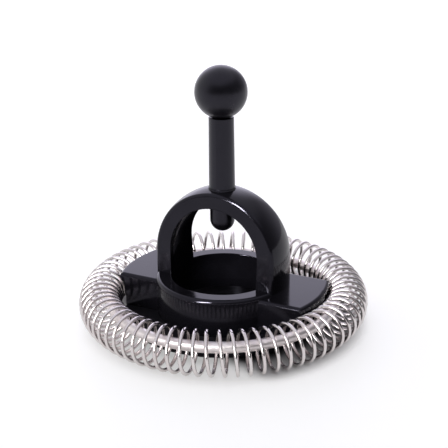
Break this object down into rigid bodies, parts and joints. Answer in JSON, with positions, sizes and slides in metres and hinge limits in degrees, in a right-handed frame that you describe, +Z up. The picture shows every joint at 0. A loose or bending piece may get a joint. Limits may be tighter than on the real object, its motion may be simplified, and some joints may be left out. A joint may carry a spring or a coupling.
{
  "type": "milk frother whisk",
  "caption": "Spring-ringed whisk of a magnetic milk frother: black hub with cup, wings, domed arch and ball-topped stem, lifting out of a closed coil spring on a wire hoop.",
  "frame": {"origin": "on the whisk's axis, level with the underside of the spring ring", "axes": "+Z up along the stem, +X along the wings, +Y through the arch's opening"},
  "size_m": [0.058, 0.058, 0.0507],
  "materials": {
    "black_gloss_plastic": "gloss",
    "black_satin_plastic": "satin",
    "spring_wire": "bright drawn stainless wire",
    "hoop_wire": "satin drawn stainless wire",
    "pin_steel": "ground",
    "magnet_nickel": "nickel plated"
  },
  "bodies": {
    "coil": {"coil_spring": "spring_wire"},
    "hoop": {"core_hoop": "hoop_wire", "hoop_sleeve": "hoop_wire"},
    "hub": {"hub_body": "black_gloss_plastic", "bottom_plate": "black_gloss_plastic", "magnet_left": "magnet_nickel", "magnet_right": "magnet_nickel", "centre_stem": "black_satin_plastic", "knob_pin": "pin_steel", "ball_knob": "black_satin_plastic"}
  },
  "joints": [
    {"name": "ring_turn", "type": "hinge", "parent": "coil", "child": "hoop", "pos_m": [0, 0, 0.0043], "axis": [0, 0, 1], "continuous": true},
    {"name": "hub_lift", "type": "slide", "parent": "hoop", "child": "hub", "axis": [0, 0, 1], "range_m": [0, 0.014]}
  ]
}
